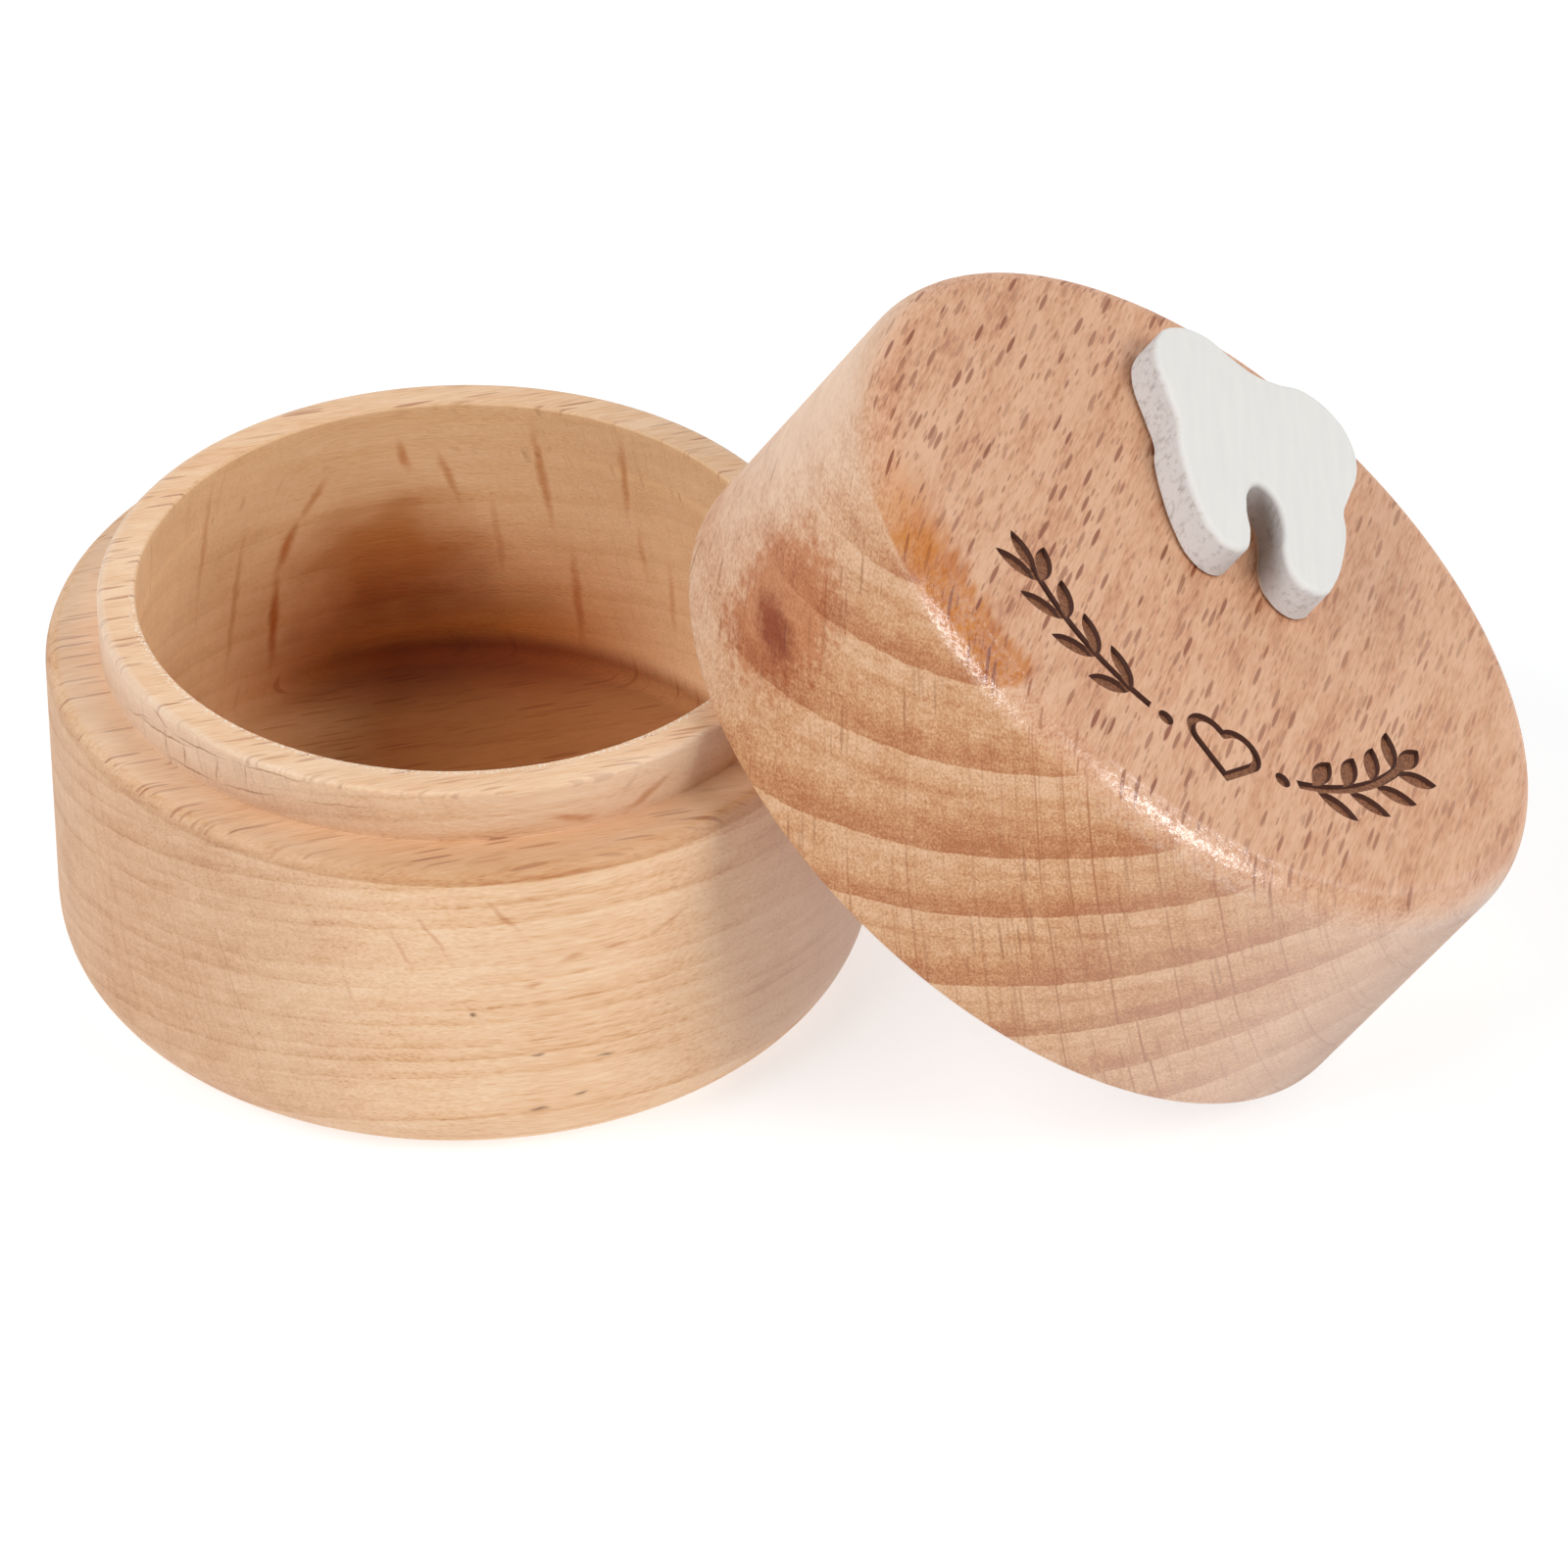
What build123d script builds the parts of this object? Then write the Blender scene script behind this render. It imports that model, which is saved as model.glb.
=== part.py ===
from build123d import *
import os
from math import asin, atan2, cos, degrees, hypot, radians, sin, sqrt

# A turned wooden keepsake box, shown open: a cup with a spigot round its mouth, and a cap that leans
# against it with one side of its rim on the table. A flat tooth shape is glued on top of the cap.
# Millimetres, +Z up, origin at the middle of the cup's foot. The cap leans away from the cup towards +X.

# Cup
body_radius = 27.5
shoulder_height = 24.2
shoulder_width = 3.6
spigot_height = 3.8
spigot_wall = 2.55
floor_thickness = 7.0
foot_rounding = 5.0
shoulder_rounding = 1.2
spigot_rounding = 0.4
mouth_rounding = 0.25
cavity_corner = 1.0

# Cap: it goes over the spigot, as wide as the cup
lid_height = 20.6
lid_clearance = 0.25
recess_depth = 9.0
recess_corner = 1.0
top_rounding = 2.5
rim_rounding = 0.5
lip_rounding = 0.25

# Tooth plate and its glue
tooth_width = 16.9
tooth_height = 21.3
tooth_thickness = 2.8
tooth_arris = 0.45
glue_thickness = 0.2
glue_share = 0.94
tooth_margin = 6.1
tooth_shift = 2.6
tooth_top_share = 0.944
notch_top_share = 0.394
tooth_half_shares = [
    (0.213, 0.962), (0.497, 1.0), (0.815, 0.955), (0.965, 0.865), (1.0, 0.745), (0.900, 0.596),
    (0.822, 0.488), (0.828, 0.404), (0.781, 0.272), (0.675, 0.122), (0.544, 0.028), (0.391, 0.0),
    (0.225, 0.033), (0.160, 0.122), (0.178, 0.235), (0.142, 0.338), (0.065, 0.385),
]

# Ornament burned into the top of the cap, in an arc below the tooth
burn_depth = 0.35
burn_line = 0.7
garland_margin = 10.2
garland_from = 20.0
garland_to = 61.0
leaf_pairs = 4
leaf_length = 3.5
leaf_width = 1.35
leaf_turn = 38.0
leaf_gap = 0.25
tip_share = 0.25
heart_side = 3.5
berry_radius = 0.6
berry_gap = 1.3

# How the cap leans: the rim's plane meets the top of the spigot this far past the cap's centre,
# as a share of the recess radius, and a small gap keeps the two pieces apart
lean_reach_share = 0.872
lean_gap = 0.12
lean_turn = -7.5
cap_turn = 10.0

overrun = 1.0

spigot_radius = body_radius - shoulder_width
bore_radius = spigot_radius - spigot_wall
spigot_top = shoulder_height + spigot_height
recess_radius = spigot_radius + lid_clearance
lid_radius = body_radius
garland_radius = lid_radius - garland_margin
tooth_rise = lid_radius - tooth_margin - tooth_height


def cup():
    """Cup with its bore, turned from one block: foot, wall, shoulder, spigot and cavity."""
    outline = FilletPolyline(
        (0, 0),
        (body_radius, 0),
        (body_radius, shoulder_height),
        (spigot_radius, shoulder_height),
        radius=[foot_rounding, shoulder_rounding],
    )
    spigot = FilletPolyline(
        (spigot_radius, shoulder_height),
        (spigot_radius, spigot_top),
        (bore_radius, spigot_top),
        (bore_radius, floor_thickness),
        (0, floor_thickness),
        radius=[spigot_rounding, mouth_rounding, cavity_corner],
    )
    return turned(outline + spigot + Line((0, floor_thickness), (0, 0)))


def cap():
    """Cap with the recess that fits over the spigot, rim downwards, and the burned ornament."""
    outline = FilletPolyline(
        (0, recess_depth),
        (recess_radius, recess_depth),
        (recess_radius, 0),
        (lid_radius, 0),
        (lid_radius, lid_height),
        (0, lid_height),
        radius=[recess_corner, lip_rounding, rim_rounding, top_rounding],
    )
    body = turned(outline + Line((0, lid_height), (0, recess_depth)))
    burn = Pos(0, 0, lid_height - burn_depth) * extrude(ornament(), burn_depth + overrun)
    return body - burn


def turned(profile):
    """Round solid from a half section, whose points are written as radius and height."""
    return revolve(Plane.XZ * make_face(profile), Axis.Z)


def ornament():
    """Two leafy sprigs in an arc with a small heart between them."""
    shapes = [heart()]
    for side in (-1, 1):
        shapes += sprig(side)
    flat = shapes[0]
    for shape in shapes[1:]:
        flat += shape
    return flat


def sprig(side):
    """Stem, pairs of leaves, a leaf at the tip and a berry, on one side of the arc."""
    span = garland_to - garland_from
    back = 0 if side > 0 else 180
    ring = Circle(garland_radius + burn_line / 2) - Circle(garland_radius - burn_line / 2)
    corners = [on_arc(lid_radius, side * (garland_from + share * span)) for share in (0, 0.5, 1)]
    shapes = [ring & make_face(Polyline((0, 0), *corners, close=True))]
    for number in range(leaf_pairs):
        angle = side * (garland_from + (number + 0.5) * span / leaf_pairs)
        for outward in (-1, 1):
            foot = on_arc(garland_radius + outward * leaf_gap, angle)
            shapes.append(leaf(foot, angle + back - side * outward * leaf_turn))
    tip = side * (garland_to - degrees(tip_share * leaf_length / garland_radius))
    shapes.append(leaf(on_arc(garland_radius, tip), tip + back))
    berry = on_arc(garland_radius, side * (garland_from - degrees(berry_gap / garland_radius)))
    shapes.append(Pos(*berry) * Circle(berry_radius))
    return shapes


def on_arc(radius, angle):
    """Point at an angle from the bottom of the arc, counted to the right."""
    return (radius * sin(radians(angle)), -radius * cos(radians(angle)))


def leaf(foot, turn):
    """Pointed leaf that grows from its foot in the direction of turn."""
    upper = ThreePointArc((0, 0), (leaf_length / 2, leaf_width / 2), (leaf_length, 0))
    lower = ThreePointArc((leaf_length, 0), (leaf_length / 2, -leaf_width / 2), (0, 0))
    return Pos(*foot) * Rot(0, 0, turn) * make_face(upper + lower)


def heart():
    """Outline of a heart at the bottom of the arc, as wide as the burned line."""
    full = heart_face(heart_side)
    hole = heart_face(heart_side - 2 * burn_line)
    return Pos(0, -garland_radius) * (full - hole)


def heart_face(side):
    """Heart: two sides of a square that stands on its corner, with a half disc on each of the others."""
    corner = side * sin(radians(45))
    tip, left, top, right = (0, -corner), (-corner, 0), (0, corner), (corner, 0)
    lobes = ThreePointArc(left, (-corner, corner), top) + ThreePointArc(top, (corner, corner), right)
    return make_face(Line(tip, left) + lobes + Line(right, tip))


def tooth_outline(scale=1):
    """Tooth seen from the front, standing on its root tips, scaled about its middle."""
    right = [(x * tooth_width / 2, y * tooth_height) for x, y in tooth_half_shares]
    left = [(-x, y) for x, y in reversed(right)]
    top = (0, tooth_top_share * tooth_height)
    notch = (0, notch_top_share * tooth_height)
    points = [top] + right + [notch] + left
    middle = tooth_height / 2
    scaled = [(x * scale, middle + (y - middle) * scale) for x, y in points]
    return make_face(Spline(*scaled, periodic=True))


def glue():
    """Film of glue under the tooth plate, a little smaller than the plate."""
    return Pos(0, 0, lid_height) * on_top(extrude(tooth_outline(glue_share), glue_thickness))


def tooth():
    """Flat tooth plate with a soft upper edge."""
    plate = extrude(tooth_outline(), tooth_thickness)
    plate = fillet(plate.faces().sort_by(Axis.Z)[-1].edges(), tooth_arris)
    return Pos(0, 0, lid_height + glue_thickness) * on_top(plate)


def on_top(shape):
    """Place of the tooth on the cap's top, a little to the right of the middle."""
    return Pos(tooth_shift, tooth_rise, 0) * shape


def leaning():
    """Place of the cap: its rim stands on the table and leans on the spigot at two points."""
    reach = lean_reach_share * recess_radius
    arm = lid_radius - rim_rounding + reach
    rise = spigot_top + lean_gap - rim_rounding
    lean = asin(rise / hypot(arm, rim_rounding)) + atan2(rim_rounding, arm)
    half_chord = sqrt(max(recess_radius ** 2 - reach ** 2, 0))
    touch = sqrt(spigot_radius ** 2 - half_chord ** 2)
    away = touch + reach * cos(lean)
    height = (lid_radius - rim_rounding) * sin(lean) + rim_rounding * (1 - cos(lean))
    turn = Rot(0, 0, lean_turn) * Pos(away, 0, height)
    print("cap leans", round(degrees(lean), 2), "degrees, rim centre", turn.position)
    return turn * Rot(0, degrees(lean), 0) * Rot(0, 0, cap_turn)


os.makedirs("parts", exist_ok=True)
place = leaning()
export_step(cup(), "parts/base_cup.step")
export_step(place * cap(), "parts/lid_cap.step")
export_step(place * glue(), "parts/tooth_glue.step")
export_step(place * tooth(), "parts/tooth_plaque.step")
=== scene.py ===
from math import asin, atan2, cos, degrees, hypot, pi, radians, sin, sqrt

import bmesh
import bpy
from mathutils import Matrix, Vector


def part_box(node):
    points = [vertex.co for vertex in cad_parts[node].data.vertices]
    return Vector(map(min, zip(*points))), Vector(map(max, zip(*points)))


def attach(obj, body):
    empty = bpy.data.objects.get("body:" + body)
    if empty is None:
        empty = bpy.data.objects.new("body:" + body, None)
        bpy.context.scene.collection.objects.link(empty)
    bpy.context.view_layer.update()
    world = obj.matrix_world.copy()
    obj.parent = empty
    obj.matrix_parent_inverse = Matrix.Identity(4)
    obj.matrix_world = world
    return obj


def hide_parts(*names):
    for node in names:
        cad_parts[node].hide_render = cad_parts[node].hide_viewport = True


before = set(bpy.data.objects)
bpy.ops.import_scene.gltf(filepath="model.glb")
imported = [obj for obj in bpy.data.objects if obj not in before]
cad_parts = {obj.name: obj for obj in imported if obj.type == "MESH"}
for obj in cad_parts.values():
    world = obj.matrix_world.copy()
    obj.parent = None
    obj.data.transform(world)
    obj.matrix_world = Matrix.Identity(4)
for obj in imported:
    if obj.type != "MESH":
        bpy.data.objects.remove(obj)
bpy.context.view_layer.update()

mm = 0.001  # every size below is in millimetres, and Blender works in metres

# Turned cup, seen from its foot up
cup = {
    "radius": 27.5,
    "shoulderHeight": 24.2,
    "shoulderWidth": 3.6,
    "spigotHeight": 3.8,
    "spigotWall": 2.55,
    "floorThickness": 7.0,
    "footRounding": 5.0,
    "shoulderRounding": 1.2,
    "spigotRounding": 0.4,
    "mouthRounding": 0.25,
    "cornerRounding": 1.0,
    "facets": 512,
}
spigotRadius = cup["radius"] - cup["shoulderWidth"]
boreRadius = spigotRadius - cup["spigotWall"]
mouthHeight = cup["shoulderHeight"] + cup["spigotHeight"]

# Turned cap, in its own place: rim down, with its axis upright
cap = {
    "radius": 27.5,
    "height": 20.6,
    "recessRadius": 24.15,
    "recessDepth": 9.0,
    "recessRounding": 1.0,
    "topRounding": 2.5,
    "rimRounding": 0.5,
    "lipRounding": 0.25,
    "facets": 512,
}

# How the cap leans on the cup
lean = {
    "reachShare": 0.872,
    "gap": 0.12,
    "turn": -7.5,
    "capTurn": 10.0,
}

# Ornament burned into the cap's top, in an arc below the tooth
garland = {
    "radius": 17.3,
    "from": 20.0,
    "to": 61.0,
    "depth": 0.35,
    "line": 0.7,
    "slope": 0.13,  # width of the groove's sloping wall
    "lip": 0.05,  # depth of its upright wall above that
    "leafPairs": 4,
    "leafLength": 3.5,
    "leafWidth": 1.35,
    "leafTurn": 38.0,
    "leafGap": 0.25,
    "tipShare": 0.25,
    "heartSide": 3.5,
    "berryRadius": 0.6,
    "berryGap": 1.3,
    "overrun": 1.0,
}

# Flat tooth; its outline is one half, in shares of the half width and of the height
tooth = {
    "width": 16.9,
    "height": 21.3,
    "thickness": 2.8,
    "arris": 0.45,
    "shift": 2.6,
    "rise": 0.1,
    "topShare": 0.944,
    "notchShare": 0.394,
    "halfShares": [
        (0.213, 0.962), (0.497, 1.0), (0.815, 0.955), (0.965, 0.865), (1.0, 0.745), (0.900, 0.596),
        (0.822, 0.488), (0.828, 0.404), (0.781, 0.272), (0.675, 0.122), (0.544, 0.028), (0.391, 0.0),
        (0.225, 0.033), (0.160, 0.122), (0.178, 0.235), (0.142, 0.338), (0.065, 0.385),
    ],
}

# Film of glue under the tooth
glue = {
    "thickness": 0.2,
    "share": 0.94,
    "clouds": {"Scale": 0.9, "Detail": 3.0},
    "roughness": {"To Min": 0.25, "To Max": 0.45},
    "deep": "#cfa988",
    "pale": "#e9d8c6",
}
toothBase = cap["height"] + glue["thickness"]

# How the meshes are worked, in millimetres and degrees
bench = {
    "crease": 35.0,  # edges sharper than this stay crisp
    "weld": 0.001,  # corners this close become one
    "slack": 0.02,  # how far off an edge may lie and still be found
    "flatRim": 0.3,  # a narrow ring round each big flat face keeps its shading flat
    "manyCorners": 100,  # only the big round faces have more corners
}


def leanPlace():
    reach = lean["reachShare"] * cap["recessRadius"]
    arm = cap["radius"] - cap["rimRounding"] + reach
    rise = mouthHeight + lean["gap"] - cap["rimRounding"]
    angle = asin(rise / hypot(arm, cap["rimRounding"])) + atan2(cap["rimRounding"], arm)
    halfChord = sqrt(cap["recessRadius"] ** 2 - reach ** 2)
    away = sqrt(spigotRadius ** 2 - halfChord ** 2) + reach * cos(angle)
    height = (cap["radius"] - cap["rimRounding"]) * sin(angle) + cap["rimRounding"] * (1 - cos(angle))
    print("the cap leans", round(degrees(angle), 2), "degrees")
    turned = Matrix.Rotation(radians(lean["turn"]), 4, "Z") @ Matrix.Translation((away * mm, 0, height * mm))
    return turned @ Matrix.Rotation(angle, 4, "Y") @ Matrix.Rotation(radians(lean["capTurn"]), 4, "Z")


capPlace = leanPlace()


def takeUp(*pieces):  # selects these alone, the first to be worked on; the CAD nodes come in selected
    bpy.ops.object.select_all(action="DESELECT")
    for piece in pieces:
        piece.select_set(True)
    if pieces:
        bpy.context.view_layer.objects.active = pieces[0]


def nameNew(name):
    piece = bpy.context.object
    piece.name = name
    piece.data.name = name
    return piece


def openEdit():
    bpy.ops.object.mode_set(mode="EDIT")
    bpy.ops.mesh.select_all(action="SELECT")


def leaveEdit():
    bpy.ops.object.mode_set(mode="OBJECT")


def faceOutwards():
    bpy.ops.mesh.select_all(action="SELECT")
    bpy.ops.mesh.normals_make_consistent(inside=False)


def weldCorners():
    bpy.ops.mesh.select_all(action="SELECT")
    bpy.ops.mesh.remove_doubles(threshold=bench["weld"] * mm)


def smoothPiece():
    bpy.ops.object.shade_smooth_by_angle(angle=radians(bench["crease"]))


def closeEdit():
    weldCorners()
    faceOutwards()
    leaveEdit()
    smoothPiece()


def pick(piece, kind, wanted):  # in edit mode, selects what passes the test
    bpy.ops.mesh.select_mode(type=kind)
    bpy.ops.mesh.select_all(action="DESELECT")
    mesh = bmesh.from_edit_mesh(piece.data)
    for part in {"VERT": mesh.verts, "EDGE": mesh.edges, "FACE": mesh.faces}[kind]:
        part.select = wanted(part)
    mesh.select_flush_mode()
    bmesh.update_edit_mesh(piece.data)


def roundRing(piece, radius, height, rounding, segments):  # rounds the edge of that radius at that height
    slack = bench["slack"] * mm

    def onRing(edge):
        places = [corner.co for corner in edge.verts]
        level = all(abs(place.z - height * mm) < slack for place in places)
        return level and all(abs(place.xy.length - radius * mm) < slack for place in places)

    pick(piece, "EDGE", onRing)
    bpy.ops.mesh.bevel(offset=rounding * mm, segments=segments, affect="EDGES", profile=0.5)


def raiseFace(height):
    bpy.ops.mesh.extrude_region_move(TRANSFORM_OT_translate={"value": (0, 0, height * mm)})


def insetFace(width, depth=0, **settings):
    bpy.ops.mesh.inset(thickness=width * mm, depth=depth * mm, **settings)


def isBigFace(face):
    return len(face.verts) > bench["manyCorners"]


def addFlatRims(piece):
    pick(piece, "FACE", isBigFace)
    insetFace(bench["flatRim"], use_individual=True)


def startDisc(name, turned):  # a flat disc, open for editing
    takeUp()
    radius = turned["radius"] * mm
    bpy.ops.mesh.primitive_circle_add(vertices=turned["facets"], radius=radius, fill_type="NGON")
    piece = nameNew(name)
    openEdit()
    return piece


def turnCup():
    piece = startDisc("baseCup", cup)
    raiseFace(cup["shoulderHeight"])
    insetFace(cup["shoulderWidth"])
    raiseFace(cup["spigotHeight"])
    insetFace(cup["spigotWall"])
    raiseFace(cup["floorThickness"] - mouthHeight)
    roundRing(piece, boreRadius, cup["floorThickness"], cup["cornerRounding"], 6)
    roundRing(piece, boreRadius, mouthHeight, cup["mouthRounding"], 4)
    roundRing(piece, spigotRadius, mouthHeight, cup["spigotRounding"], 5)
    roundRing(piece, cup["radius"], cup["shoulderHeight"], cup["shoulderRounding"], 8)
    roundRing(piece, cup["radius"], 0, cup["footRounding"], 16)
    addFlatRims(piece)
    closeEdit()
    return piece


def turnCap():
    piece = startDisc("lidCap", cap)
    raiseFace(cap["height"])
    pick(piece, "FACE", lambda face: isBigFace(face) and face.calc_center_median().z < mm)
    insetFace(cap["radius"] - cap["recessRadius"])
    raiseFace(cap["recessDepth"])
    roundRing(piece, cap["recessRadius"], cap["recessDepth"], cap["recessRounding"], 5)
    roundRing(piece, cap["recessRadius"], 0, cap["lipRounding"], 3)
    roundRing(piece, cap["radius"], 0, cap["rimRounding"], 6)
    roundRing(piece, cap["radius"], cap["height"], cap["topRounding"], 14)
    addFlatRims(piece)
    closeEdit()
    return piece


def onArc(radius, angle):  # a place in millimetres, the angle counted to the right from the bottom
    return (radius * sin(radians(angle)), -radius * cos(radians(angle)))


def arcPoints(centre, radius, start, end, steps):  # angles are counted from +X; the last place is left out
    angles = [radians(start + (end - start) * number / steps) for number in range(steps)]
    return [(centre[0] + radius * cos(angle), centre[1] + radius * sin(angle)) for angle in angles]


def moveNew(piece, place, turn):
    shifted = Matrix.Translation((place[0] * mm, place[1] * mm, 0))
    piece.matrix_world = shifted @ Matrix.Rotation(radians(turn), 4, "Z")
    bpy.ops.object.transform_apply()


def flatShape(points):  # one flat face above the cap's top, with its corners put on an outline in millimetres
    takeUp()
    bpy.ops.mesh.primitive_circle_add(vertices=len(points), radius=mm, fill_type="NGON")
    shape = bpy.context.object
    for corner, (x, y) in zip(shape.data.vertices, points):
        corner.co = (x * mm, y * mm, (cap["height"] + garland["overrun"]) * mm)
    return shape


def sinkShape(shape):  # straight walls into the wood, then sloping walls down to the groove's floor
    takeUp(shape)
    openEdit()
    raiseFace(-garland["overrun"] - garland["lip"])
    faceOutwards()
    pick(shape, "FACE", lambda face: face.normal.z < -0.9)
    insetFace(garland["slope"], garland["depth"] - garland["lip"])
    leaveEdit()
    return shape


def copyPiece(piece, place, turn):
    takeUp(piece)
    bpy.ops.object.duplicate(linked=False)
    moveNew(bpy.context.object, place, turn)
    return bpy.context.object


def cutLeaf():
    half = garland["leafLength"] / 2
    rise = garland["leafWidth"] / 2
    bow = (half ** 2 + rise ** 2) / (2 * rise)  # radius of each side of the leaf
    sweep = degrees(asin(half / bow))
    lower = arcPoints((half, bow - rise), bow, -90 - sweep, -90 + sweep, 12)
    upper = arcPoints((half, rise - bow), bow, 90 - sweep, 90 + sweep, 12)
    return sinkShape(flatShape(lower + upper))


def cutStem(side):
    takeUp()
    bpy.ops.mesh.primitive_plane_add(size=garland["line"] * mm)
    stem = bpy.context.object
    openEdit()
    pick(stem, "VERT", lambda corner: corner.co.x * side < 0)
    bpy.ops.mesh.delete(type="VERT")
    bpy.ops.mesh.select_all(action="SELECT")
    height = cap["height"] + garland["overrun"]
    bpy.ops.transform.translate(value=(-side * garland["line"] / 2 * mm, 0, height * mm))
    leaveEdit()
    moveNew(stem, onArc(garland["radius"], side * garland["from"]), side * garland["from"])
    openEdit()
    span = radians(garland["to"] - garland["from"])
    bpy.ops.mesh.spin(steps=28, angle=-side * span, center=(0, 0, 0), axis=(0, 0, 1))
    leaveEdit()
    return sinkShape(stem)


def cutHeart():
    side = garland["heartSide"]
    corner = side * sin(radians(45))
    low = -garland["radius"]
    slopes = 4
    steps = [corner * step / slopes for step in range(slopes)]
    right = [(step, low - corner + step) for step in steps]
    left = [(step - corner, low - step) for step in steps]
    lobes = arcPoints((corner / 2, low + corner / 2), side / 2, -45, 135, 14)
    lobes += arcPoints((-corner / 2, low + corner / 2), side / 2, 45, 225, 14)
    heart = flatShape(right + lobes + left)
    openEdit()
    insetFace(garland["line"])
    bpy.ops.mesh.delete(type="FACE")
    leaveEdit()
    return sinkShape(heart)


def cutBerry(side):
    angle = side * (garland["from"] - degrees(garland["berryGap"] / garland["radius"]))
    middle = onArc(garland["radius"], angle)
    return sinkShape(flatShape(arcPoints(middle, garland["berryRadius"], 0, 360, 28)))


def joinPieces(pieces):
    takeUp(*pieces)
    bpy.ops.object.join()
    return pieces[0]


def ornamentCutters():
    leaf = cutLeaf()
    shapes = [cutHeart()]
    span = garland["to"] - garland["from"]
    for side in (-1, 1):
        about = 0 if side > 0 else 180
        for number in range(garland["leafPairs"]):
            angle = side * (garland["from"] + (number + 0.5) * span / garland["leafPairs"])
            for outwards in (-1, 1):
                foot = onArc(garland["radius"] + outwards * garland["leafGap"], angle)
                shapes.append(copyPiece(leaf, foot, angle + about - side * outwards * garland["leafTurn"]))
        short = degrees(garland["tipShare"] * garland["leafLength"] / garland["radius"])
        tip = side * (garland["to"] - short)
        shapes.append(copyPiece(leaf, onArc(garland["radius"], tip), tip + about))
        shapes.append(cutBerry(side))
    bpy.data.objects.remove(leaf)
    return [joinPieces(shapes), joinPieces([cutStem(-1), cutStem(1)])]


def burnOrnament(piece, charred):
    for cutter in ornamentCutters():
        cutter.data.materials.append(charred)
        takeUp(piece)
        bpy.ops.object.modifier_add(type="BOOLEAN")
        step = piece.modifiers[-1]
        step.operation = "DIFFERENCE"
        step.object = cutter
        step.solver = "EXACT"
        step.material_mode = "TRANSFER"
        bpy.ops.object.modifier_apply(modifier=step.name)
        bpy.data.objects.remove(cutter)
    takeUp(piece)
    smoothPiece()


def toothOutline(scale):  # closed outline in millimetres, standing on its root tips, scaled about its middle
    right = [(x * tooth["width"] / 2, y * tooth["height"]) for x, y in tooth["halfShares"]]
    left = [(-x, y) for x, y in reversed(right)]
    top = (0, tooth["topShare"] * tooth["height"])
    notch = (0, tooth["notchShare"] * tooth["height"])
    middle = tooth["height"] / 2
    return [(x * scale, middle + (y - middle) * scale) for x, y in [top] + right + [notch] + left]


def toothSlab(name, scale, base, thickness):  # left open for editing
    takeUp()
    points = toothOutline(scale)
    bpy.ops.curve.primitive_bezier_circle_add(radius=tooth["width"] / 2 * mm)
    piece = nameNew(name)
    bpy.ops.object.mode_set(mode="EDIT")
    bpy.ops.curve.subdivide(number_cuts=len(points) // 4 - 1)
    for knot, (x, y) in zip(piece.data.splines[0].bezier_points, points):
        knot.co = ((x + tooth["shift"]) * mm, (y + tooth["rise"]) * mm, base * mm)
    bpy.ops.curve.select_all(action="SELECT")
    bpy.ops.curve.handle_type_set(type="AUTOMATIC")
    leaveEdit()
    piece.data.dimensions = "3D"
    piece.data.resolution_u = 12
    bpy.ops.object.convert(target="MESH")
    piece = bpy.context.object
    openEdit()
    weldCorners()
    bpy.ops.mesh.edge_face_add()
    raiseFace(thickness)
    faceOutwards()
    return piece


def shapeTooth():
    piece = toothSlab("toothPlaque", 1, toothBase, tooth["thickness"])
    top = (toothBase + tooth["thickness"]) * mm

    def onTopRim(edge):
        return all(abs(corner.co.z - top) < bench["slack"] * mm for corner in edge.verts)

    pick(piece, "EDGE", onTopRim)
    bpy.ops.mesh.bevel(offset=tooth["arris"] * mm, segments=5, affect="EDGES", profile=0.5)
    addFlatRims(piece)
    closeEdit()
    return piece


def spreadGlue():
    piece = toothSlab("toothGlue", glue["share"], cap["height"], glue["thickness"])
    closeEdit()
    return piece


def leanPiece(piece):
    takeUp(piece)
    piece.matrix_world = capPlace
    bpy.ops.object.transform_apply()


def linearColour(code):  # sRGB hex to linear
    parts = [int(code[start:start + 2], 16) / 255 for start in (1, 3, 5)]
    linear = [part / 12.92 if part <= 0.04045 else ((part + 0.055) / 1.055) ** 2.4 for part in parts]
    return (*linear, 1)


def feed(tree, node, inputs):  # links or values for a node's sockets
    for name, value in inputs.items():
        if isinstance(name, int):
            socket = node.inputs[name]
        else:
            socket = next(entry for entry in node.inputs if entry.name == name and entry.enabled)
        if isinstance(value, bpy.types.Node):
            value = next(exit for exit in value.outputs if exit.enabled)
        if isinstance(value, bpy.types.NodeSocket):
            tree.links.new(value, socket)
        else:
            socket.default_value = value


def addNode(tree, kind, inputs, stops=None, **settings):  # one node with its settings, links, values and ramp
    node = tree.nodes.new("ShaderNode" + kind)
    for name, value in settings.items():
        setattr(node, name, value)
    feed(tree, node, inputs)
    if stops:
        ramp = node.color_ramp
        while len(ramp.elements) < len(stops):
            ramp.elements.new(0.5)
        for element, (position, colour) in zip(ramp.elements, stops):
            element.position = position
            element.color = colour
    return node


def grey(value):
    return (value, value, value, 1)


def newMaterial(name):
    material = bpy.data.materials.new(name)
    material.use_nodes = True
    return material, material.node_tree


def tintBy(tree, colour, mask, code, how="MULTIPLY"):  # changes the colour where the mask is 1
    tint = {"Factor": mask, "A": colour, "B": linearColour(code)}
    return addNode(tree, "Mix", tint, data_type="RGBA", blend_type=how)


def blend(tree, mask, low, high):  # one colour where the mask is 0 and another where it is 1
    return tintBy(tree, linearColour(low), mask, high, "MIX")


# Ways over a piece, in its own place; outward is away from its axis
toRight, toRear, upward, outward = (1, 0, 0), (0, 1, 0), (0, 0, 1), (1, 1, 0)


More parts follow.
